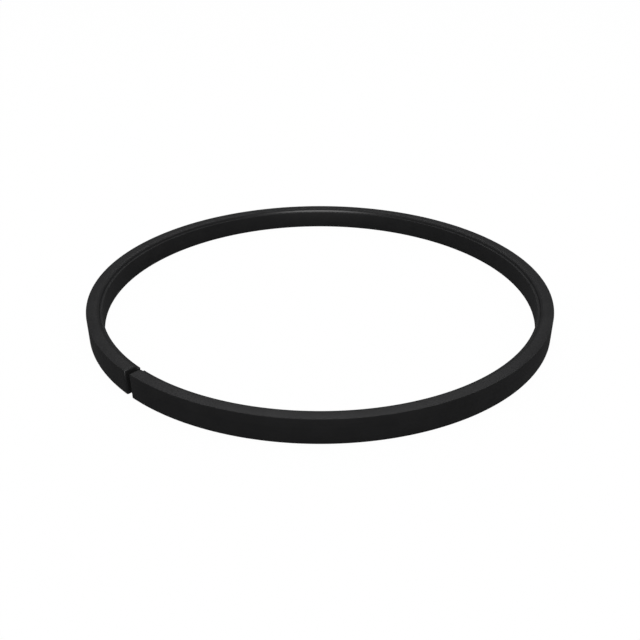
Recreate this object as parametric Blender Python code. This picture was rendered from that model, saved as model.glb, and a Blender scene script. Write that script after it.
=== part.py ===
"""A split sealing ring of black plastic, lying flat on its lower flank: a thin, tall band with a stepped upper inner
edge, open at one straight butt gap. Metres, +Z up, origin at the ring's centre on the lower flank."""

import math

import bmesh
import bpy
from mathutils import Vector

# The band, in metres
OUTER_RADIUS = 0.0500
RADIAL_WALL = 0.0032
HEIGHT = 0.0050

# The step along the upper inner edge: a chamfer, a wall that leans outwards, and a narrow ledge at its foot
CHAMFER_WIDTH = 0.00045
CHAMFER_DEPTH = 0.00028
WALL_LEAN = math.radians(17)
LEDGE_WIDTH = 0.00050
LEDGE_DEPTH = 0.00073

# The butt gap, measured at the middle of the wall, and the round along the edges of both end faces
GAP_WIDTH = 0.0014
GAP_AZIMUTH = math.radians(226.9)
END_ROUND = 0.00015

# Fineness of the sweep and of the rounds at its ends
SWEEP_STEPS = 360
END_ROUND_STEPS = 3

# Black filled plastic with a dull, slightly waxy face
PLASTIC_COLOUR = (0.030, 0.030, 0.031, 1.0)
PLASTIC_ROUGHNESS = 0.45
PLASTIC_SPECULAR = 0.3


def clear_scene():
    """Removes the objects of the startup scene."""
    for old in list(bpy.data.objects):
        bpy.data.objects.remove(old, do_unlink=True)


def plastic():
    """The ring's own material."""
    material = bpy.data.materials.new("black_plastic")
    material.use_nodes = True
    surface = material.node_tree.nodes["Principled BSDF"]
    surface.inputs["Base Color"].default_value = PLASTIC_COLOUR
    surface.inputs["Roughness"].default_value = PLASTIC_ROUGHNESS
    surface.inputs["Specular IOR Level"].default_value = PLASTIC_SPECULAR
    surface.inputs["Metallic"].default_value = 0.0
    return material


def outline():
    """The band's corners as (radius from the axis, height).

    They run up the outer wall, inwards over the flank, down the chamfer and the leaning wall to the ledge, and down
    the bore."""
    bore_radius = OUTER_RADIUS - RADIAL_WALL
    foot_radius = bore_radius + LEDGE_WIDTH
    ledge_height = HEIGHT - LEDGE_DEPTH
    chamfer_foot = foot_radius + (LEDGE_DEPTH - CHAMFER_DEPTH) * math.tan(WALL_LEAN)
    return [
        (OUTER_RADIUS, 0.0),
        (OUTER_RADIUS, HEIGHT),
        (chamfer_foot + CHAMFER_WIDTH, HEIGHT),
        (chamfer_foot, HEIGHT - CHAMFER_DEPTH),
        (foot_radius, ledge_height),
        (bore_radius, ledge_height),
        (bore_radius, 0.0),
    ]


def section(inset):
    """The outline with every side moved into the material by the inset."""
    corners = [Vector(corner) for corner in outline()]
    sides = []
    for here, there in zip(corners, corners[1:] + corners[:1]):
        along = (there - here).normalized()
        inwards = Vector((-along.y, along.x))
        sides.append((here + inwards * inset, along))
    moved = []
    for index, (start, along) in enumerate(sides):
        before_start, before_along = sides[index - 1]
        reach = (start - before_start).cross(along) / before_along.cross(along)
        moved.append(tuple(before_start + before_along * reach))
    return moved


def stations():
    """(azimuth, inset) of each section along the band, from one end face round to the other."""
    middle_radius = OUTER_RADIUS - RADIAL_WALL / 2
    half_gap = GAP_WIDTH / 2 / middle_radius
    first, last = GAP_AZIMUTH + half_gap, GAP_AZIMUTH - half_gap + 2 * math.pi
    round_angle = END_ROUND / middle_radius
    turns = [step * math.pi / 2 / END_ROUND_STEPS for step in range(END_ROUND_STEPS)]
    end = [(round_angle * (1 - math.cos(turn)), END_ROUND * (1 - math.sin(turn))) for turn in turns]
    run = last - first - 2 * round_angle
    lead_in = [(first + angle, inset) for angle, inset in end]
    body = [(first + round_angle + run * step / SWEEP_STEPS, 0.0) for step in range(SWEEP_STEPS + 1)]
    lead_out = [(last - angle, inset) for angle, inset in reversed(end)]
    return lead_in + body + lead_out


def sealing_ring():
    """The band: its section carried round from end to end, with both end faces closed."""
    mesh = bpy.data.meshes.new("sealing_ring")
    band = bmesh.new()
    loops = []
    for azimuth, inset in stations():
        places = [(r * math.cos(azimuth), r * math.sin(azimuth), z) for r, z in section(inset)]
        loops.append([band.verts.new(place) for place in places])
    for here, there in zip(loops, loops[1:]):
        for corner in range(len(here)):
            following = (corner + 1) % len(here)
            band.faces.new((here[corner], there[corner], there[following], here[following]))
    band.faces.new(loops[0])
    band.faces.new(reversed(loops[-1]))
    bmesh.ops.recalc_face_normals(band, faces=band.faces)
    band.to_mesh(mesh)
    band.free()
    mesh.shade_smooth()
    mesh.set_sharp_from_angle(angle=math.radians(40))
    mesh.materials.append(plastic())
    ring = bpy.data.objects.new("sealing_ring", mesh)
    bpy.context.scene.collection.objects.link(ring)
    return ring


clear_scene()
sealing_ring()
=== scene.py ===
"""A split sealing ring of black plastic on white: the turned ring, its material and the studio round it."""

import math
import bmesh
import bpy
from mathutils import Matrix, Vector


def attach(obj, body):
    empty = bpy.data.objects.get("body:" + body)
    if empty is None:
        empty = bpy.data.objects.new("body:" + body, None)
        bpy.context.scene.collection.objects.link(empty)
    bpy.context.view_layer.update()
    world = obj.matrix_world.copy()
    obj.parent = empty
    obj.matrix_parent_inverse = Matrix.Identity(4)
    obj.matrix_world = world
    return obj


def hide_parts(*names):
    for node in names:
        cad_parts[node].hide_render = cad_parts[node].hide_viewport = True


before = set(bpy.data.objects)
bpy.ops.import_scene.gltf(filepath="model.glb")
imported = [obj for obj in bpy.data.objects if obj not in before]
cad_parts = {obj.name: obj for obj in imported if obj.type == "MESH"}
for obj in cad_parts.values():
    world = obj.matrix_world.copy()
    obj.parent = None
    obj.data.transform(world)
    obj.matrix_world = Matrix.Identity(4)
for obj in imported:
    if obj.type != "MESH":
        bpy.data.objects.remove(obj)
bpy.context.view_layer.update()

# The band, in metres: the sizes of the CAD, and a radius 0.01 mm smaller that keeps it inside the CAD's box
OUTER_RADIUS = 0.04999
RADIAL_WALL = 0.0032
HEIGHT = 0.0050
LEDGE_WIDTH = 0.00050
LEDGE_DEPTH = 0.00073
WALL_LEAN = math.radians(17)
CHAMFER_WIDTH = 0.00045
CHAMFER_DEPTH = 0.00028

# The fine rounds along the band, which the CAD doesn't have
CHAMFER_ROUND = 0.00030
FOOT_FILLET = 0.00005
EDGE_BREAK = 0.00004
BORE_RIM = 0.00005

# The butt gap: narrower than in the CAD, because the larger rounds of its end faces open it to the eye. The
# lip share is how much of that round the ledge, the bore and the underside get.
GAP_WIDTH = 0.00125
GAP_AZIMUTH = math.radians(226.9)
END_ROUND = 0.0003
LIP_SHARE = 0.15

# The mesh: its fineness, how close points merge, and the angle from which an edge is shaded sharp
SWEEP_STEPS = 720
EDGE_STEPS = 4
END_ROUND_STEPS = 5
MERGE_DISTANCE = 1e-8
SHARP_ANGLE = math.radians(32)

# The plastic, and how much its mottle and turning marks change the tone and the roughness
PLASTIC_COLOUR = (0.0235, 0.0235, 0.0242)
WAX_WEIGHT = 0.04
ROUGHNESS = 0.36
MOTTLE_TONE = 0.10
MARK_TONE = 0.06
MOTTLE_ROUGHNESS = 0.05
MARK_ROUGHNESS = 0.04

# Its noises, as (scale, detail), the range that most of their values lie in, and how far the marks drift
MARKS = (9000.0, 3.0)
BROAD_MARKS = (2200.0, 2.0)
MOTTLE = (260.0, 4.0)
GRAIN = (5200.0, 3.0)
DRIFT = (40.0, 2.0)
NOISE_RANGE = (0.3, 0.7)
DRIFT_REACH = 0.00012

# Its relief: the weight of each noise, and the bump that they drive together
MARK_RELIEF = 0.5
BROAD_MARK_RELIEF = 0.8
GRAIN_RELIEF = 0.35
BUMP_STRENGTH = 0.35
BUMP_DISTANCE = 0.000012

# The floor and the world. What is seen of the floor is nine tenths glow and one tenth lit floor, which keeps
# the ring's shadow: together they come to white.
FLOOR_HALF = 2.0
FLOOR_DROP = 0.00002
FLOOR_COLOUR = 0.3
FLOOR_GLOW = 1.085
FLOOR_GLOW_SHARE = 0.9
WORLD_DIFFUSE = 0.5

# The lamps: a broad one overhead, and two for the gloss, low in front and high behind
KEY_PLACE = (0.0, -0.1, 1.2)
KEY_SIZE = (0.8, 0.8)
KEY_POWER = 4.6
GLINT_PLACE = (0.0, -0.55, 0.28)
GLINT_SIZE = (0.42, 0.2)
GLINT_POWER = 51.0
BACK_PLACE = (0.0, 0.4, 0.55)
BACK_SIZE = (0.5, 0.4)
BACK_POWER = 6.5

# The view, fitted to the ring's edges in the photograph, in ring radii, radians and pixels
VIEW_DISTANCE = 3.1773
VIEW_ELEVATION = 0.4622
VIEW_SCALE = 223.5041
VIEW_HEIGHT = 0.0621
VIEW_CENTRE = 290.0

# The camera for that view: the ring's radius in metres, the picture in pixels and the sensor in millimetres
CAD_RADIUS = 0.05
IMAGE_SIZE = 640
SENSOR_WIDTH = 36.0
CLIP_START = 0.001


def corners():
    """The band's sharp outline as (radius, height, round, share).

    The round is that of the corner. The share is how much of the end round the side after the corner gets."""
    bore = OUTER_RADIUS - RADIAL_WALL
    foot = bore + LEDGE_WIDTH
    ledge = HEIGHT - LEDGE_DEPTH
    chamfer_foot = foot + (LEDGE_DEPTH - CHAMFER_DEPTH) * math.tan(WALL_LEAN)
    return [
        (OUTER_RADIUS, 0.0, EDGE_BREAK, 1.0),
        (OUTER_RADIUS, HEIGHT, EDGE_BREAK, 1.0),
        (chamfer_foot + CHAMFER_WIDTH, HEIGHT, CHAMFER_ROUND, 1.0),
        (chamfer_foot, HEIGHT - CHAMFER_DEPTH, CHAMFER_ROUND, 1.0),
        (foot, ledge, FOOT_FILLET, LIP_SHARE),
        (bore, ledge, BORE_RIM, LIP_SHARE),
        (bore, 0.0, EDGE_BREAK, LIP_SHARE),
    ]


def section(inset):
    """The outline with rounded corners, as (radius from the axis, height).

    Each side is moved into the material by its share of the inset."""
    sharp = corners()
    sides = []
    for (r0, z0, _, share), (r1, z1, _, _) in zip(sharp, sharp[1:] + sharp[:1]):
        along = Vector((r1 - r0, z1 - z0)).normalized()
        inward = Vector((-along.y, along.x))
        sides.append((Vector((r0, z0)) + inward * inset * share, along, inward))
    points = []
    for index, (start, after, _) in enumerate(sides):
        before_start, before, inward = sides[index - 1]
        turn = before.cross(after)
        reach = (start - before_start).cross(after) / turn
        corner = before_start + before * reach
        # The inset takes away from the round of an outer corner and adds to that of the inner one.
        size = sharp[index][2]
        size = max(size - inset, 0.0) if turn > 0 else size + inset * LIP_SHARE
        side = 1.0 if turn > 0 else -1.0
        half_turn = math.atan2(abs(turn), before.dot(after)) / 2
        centre = corner - before * size * math.tan(half_turn) + inward * size * side
        first = -inward * side
        for step in range(EDGE_STEPS + 1):
            angle = side * 2 * half_turn * step / EDGE_STEPS
            spoke = Vector((first.x * math.cos(angle) - first.y * math.sin(angle),
                            first.x * math.sin(angle) + first.y * math.cos(angle)))
            point = centre + spoke * size
            points.append((point.x, point.y))
    return points


def stations():
    """(azimuth, inset) of each section along the band, from one end face round to the other."""
    middle = OUTER_RADIUS - RADIAL_WALL / 2
    half_gap = GAP_WIDTH / 2 / middle
    first, last = GAP_AZIMUTH + half_gap, GAP_AZIMUTH - half_gap + 2 * math.pi
    round_angle = END_ROUND / middle
    turns = [step * math.pi / 2 / END_ROUND_STEPS for step in range(END_ROUND_STEPS)]
    end = [(round_angle * (1 - math.cos(turn)), END_ROUND * (1 - math.sin(turn))) for turn in turns]
    run = last - first - 2 * round_angle
    lead_in = [(first + angle, inset) for angle, inset in end]
    body = [(first + round_angle + run * step / SWEEP_STEPS, 0.0) for step in range(SWEEP_STEPS + 1)]
    lead_out = [(last - angle, inset) for angle, inset in reversed(end)]
    return lead_in + body + lead_out


def ring_piece(material):
    """The finely meshed ring that stands for the CAD node."""
    mesh = bpy.data.meshes.new("turned_ring")
    band = bmesh.new()
    loops = []
    for azimuth, inset in stations():
        places = [(r * math.cos(azimuth), r * math.sin(azimuth), z) for r, z in section(inset)]
        loops.append([band.verts.new(place) for place in places])
    for here, there in zip(loops, loops[1:]):
        for corner in range(len(here)):
            following = (corner + 1) % len(here)
            band.faces.new((here[corner], there[corner], there[following], here[following]))
    band.faces.new(loops[0])
    band.faces.new(reversed(loops[-1]))
    # Where the inset has taken a whole round away, all its points lie on one spot.
    bmesh.ops.remove_doubles(band, verts=band.verts, dist=MERGE_DISTANCE)
    bmesh.ops.recalc_face_normals(band, faces=band.faces)
    band.to_mesh(mesh)
    band.free()
    mesh.shade_smooth()
    mesh.set_sharp_from_angle(angle=SHARP_ANGLE)
    mesh.materials.append(material)
    piece = bpy.data.objects.new("turned_ring", mesh)
    bpy.context.scene.collection.objects.link(piece)
    return piece


class Nodes:
    """Short ways to add and join nodes in one tree."""

    def __init__(self, tree):
        self.tree = tree

    def add(self, kind, **settings):
        node = self.tree.nodes.new(kind)
        for name, value in settings.items():
            setattr(node, name, value)
        return node

    def join(self, source, target):
        self.tree.links.new(source, target)

    def maths(self, operation, first, second=None):
        """The operation on one or two values, each a number or a socket."""
        node = self.add("ShaderNodeMath", operation=operation)
        for socket, value in zip(node.inputs, (first, second)):
            if value is None:
                continue
            if isinstance(value, (int, float)):
                socket.default_value = value
            else:
                self.join(value, socket)
        return node.outputs[0]

    def spread(self, value, low, high, source_low=0.0, source_high=1.0):
        """The value, taken from the source's range to the one from low to high."""
        node = self.add("ShaderNodeMapRange")
        self.join(value, node.inputs["Value"])
        node.inputs["From Min"].default_value = source_low
        node.inputs["From Max"].default_value = source_high
        node.inputs["To Min"].default_value = low
        node.inputs["To Max"].default_value = high
        return node.outputs[0]

    def noise(self, place, scale, detail):
        node = self.add("ShaderNodeTexNoise")
        self.join(place, node.inputs["Vector"])
        node.inputs["Scale"].default_value = scale
        node.inputs["Detail"].default_value = detail
        return node.outputs["Fac"]

    def vary(self, noise, middle, reach):
        """The noise, as a value that goes from the middle by the reach either way."""
        return self.spread(noise, middle - reach, middle + reach, *NOISE_RANGE)


def black_plastic():
    """Filled plastic as turned: fine marks round the axis, a faint mottle and a slightly waxy face."""
    material = bpy.data.materials.new("black_plastic_turned")
    material.use_nodes = True
    surface = material.node_tree.nodes["Principled BSDF"]
    nodes = Nodes(material.node_tree)
    place = nodes.add("ShaderNodeTexCoord").outputs["Object"]
    split = nodes.add("ShaderNodeSeparateXYZ")
    nodes.join(place, split.inputs[0])
    x, y, z = split.outputs
    squares = nodes.maths("ADD", nodes.maths("MULTIPLY", x, x), nodes.maths("MULTIPLY", y, y))
    from_axis = nodes.maths("SQRT", squares)

    # The marks depend on the distance from the axis and the height, and drift slowly round the ring.
    drift = nodes.maths("MULTIPLY", nodes.noise(place, *DRIFT), DRIFT_REACH)
    turned = nodes.add("ShaderNodeCombineXYZ")
    nodes.join(nodes.maths("ADD", from_axis, drift), turned.inputs[0])
    nodes.join(nodes.maths("ADD", z, drift), turned.inputs[1])
    marks = nodes.noise(turned.outputs[0], *MARKS)
    broad_marks = nodes.noise(turned.outputs[0], *BROAD_MARKS)
    mottle = nodes.noise(place, *MOTTLE)
    grain = nodes.noise(place, *GRAIN)

    tone = nodes.maths("ADD", nodes.vary(mottle, 1.0, MOTTLE_TONE), nodes.vary(marks, 0.0, MARK_TONE))
    grey = nodes.add("ShaderNodeCombineColor")
    for channel in grey.inputs:
        nodes.join(tone, channel)
    colour = nodes.add("ShaderNodeMix", data_type="RGBA", blend_type="MULTIPLY")
    colour.inputs["Factor"].default_value = 1.0
    colour.inputs["A"].default_value = PLASTIC_COLOUR + (1.0,)
    nodes.join(grey.outputs[0], colour.inputs["B"])
    nodes.join(colour.outputs["Result"], surface.inputs["Base Color"])

    rough = nodes.maths("ADD", nodes.vary(mottle, ROUGHNESS, MOTTLE_ROUGHNESS),
                        nodes.vary(broad_marks, 0.0, MARK_ROUGHNESS))
    nodes.join(rough, surface.inputs["Roughness"])
    # The gloss is all in a thin waxy coat, because a faint one in the base would still shine at a low angle.
    surface.inputs["Specular IOR Level"].default_value = 0.0
    surface.inputs["Coat Weight"].default_value = WAX_WEIGHT
    surface.inputs["Coat Roughness"].default_value = ROUGHNESS

    turning = nodes.maths("ADD", nodes.maths("MULTIPLY", marks, MARK_RELIEF),
                          nodes.maths("MULTIPLY", broad_marks, BROAD_MARK_RELIEF))
    height = nodes.maths("ADD", turning, nodes.maths("MULTIPLY", grain, GRAIN_RELIEF))
    bump = nodes.add("ShaderNodeBump")
    bump.inputs["Strength"].default_value = BUMP_STRENGTH
    bump.inputs["Distance"].default_value = BUMP_DISTANCE
    nodes.join(height, bump.inputs["Height"])
    nodes.join(bump.outputs["Normal"], surface.inputs["Normal"])
    return material


def seen_white(nodes):
    """1 for rays that look at the background straight on, in gloss or through glass, else 0."""
    path = nodes.add("ShaderNodeLightPath")
    straight = nodes.maths("MAXIMUM", path.outputs["Is Camera Ray"], path.outputs["Is Glossy Ray"])
    return nodes.maths("MAXIMUM", straight, path.outputs["Is Transmission Ray"])


def surroundings():
    """The world: white where it is seen, and weaker as a light."""
    world = bpy.data.worlds.new("studio")
    bpy.context.scene.world = world
    world.use_nodes = True
    nodes = Nodes(world.node_tree)
    background = world.node_tree.nodes["Background"]
    background.inputs["Color"].default_value = (1.0, 1.0, 1.0, 1.0)
    nodes.join(nodes.spread(seen_white(nodes), WORLD_DIFFUSE, 1.0), background.inputs["Strength"])


def floor():
    """The white floor, just under the ring."""
    mesh = bpy.data.meshes.new("floor")
    ends = (-FLOOR_HALF, FLOOR_HALF)
    mesh.from_pydata([(x, y, -FLOOR_DROP) for x in ends for y in ends], [], [(0, 2, 3, 1)])
    plate = bpy.data.objects.new("floor", mesh)
    bpy.context.scene.collection.objects.link(plate)
    material = bpy.data.materials.new("floor_white")
    material.use_nodes = True
    tree = material.node_tree
    tree.nodes.remove(tree.nodes["Principled BSDF"])
    nodes = Nodes(tree)
    diffuse = nodes.add("ShaderNodeBsdfDiffuse")
    diffuse.inputs["Color"].default_value = (FLOOR_COLOUR, FLOOR_COLOUR, FLOOR_COLOUR, 1.0)
    glow = nodes.add("ShaderNodeEmission")
    glow.inputs["Strength"].default_value = FLOOR_GLOW
    mix = nodes.add("ShaderNodeMixShader")
    nodes.join(nodes.maths("MULTIPLY", seen_white(nodes), FLOOR_GLOW_SHARE), mix.inputs[0])
    nodes.join(diffuse.outputs[0], mix.inputs[1])
    nodes.join(glow.outputs[0], mix.inputs[2])
    nodes.join(mix.outputs[0], tree.nodes["Material Output"].inputs[0])
    mesh.materials.append(material)


def lamp(name, place, size, power, only_in_gloss=False):
    """A lamp that faces the ring."""
    light = bpy.data.lights.new(name, "AREA")
    light.shape = "RECTANGLE"
    light.size, light.size_y = size
    light.energy = power
    holder = bpy.data.objects.new(name, light)
    holder.location = place
    holder.rotation_euler = (-Vector(place)).to_track_quat("-Z", "Y").to_euler()
    holder.visible_diffuse = not only_in_gloss
    bpy.context.scene.collection.objects.link(holder)


def camera():
    """The photograph's viewpoint."""
    lens = bpy.data.cameras.new("camera")
    lens.sensor_width = SENSOR_WIDTH
    lens.lens = SENSOR_WIDTH * VIEW_SCALE * VIEW_DISTANCE / IMAGE_SIZE
    lens.shift_y = (VIEW_CENTRE - IMAGE_SIZE / 2) / IMAGE_SIZE
    lens.clip_start = CLIP_START
    holder = bpy.data.objects.new("camera", lens)
    away = VIEW_DISTANCE * CAD_RADIUS
    rise = VIEW_HEIGHT * CAD_RADIUS
    holder.location = (0.0, -away * math.cos(VIEW_ELEVATION), rise + away * math.sin(VIEW_ELEVATION))
    holder.rotation_euler = (math.pi / 2 - VIEW_ELEVATION, 0.0, 0.0)
    bpy.context.scene.collection.objects.link(holder)
    bpy.context.scene.camera = holder


ring = ring_piece(black_plastic())
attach(ring, "root")
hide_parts("sealing_ring")
surroundings()
floor()
lamp("key_lamp", KEY_PLACE, KEY_SIZE, KEY_POWER)
lamp("glint_lamp", GLINT_PLACE, GLINT_SIZE, GLINT_POWER, only_in_gloss=True)
lamp("back_lamp", BACK_PLACE, BACK_SIZE, BACK_POWER, only_in_gloss=True)
camera()
bpy.context.scene.view_settings.view_transform = "Standard"
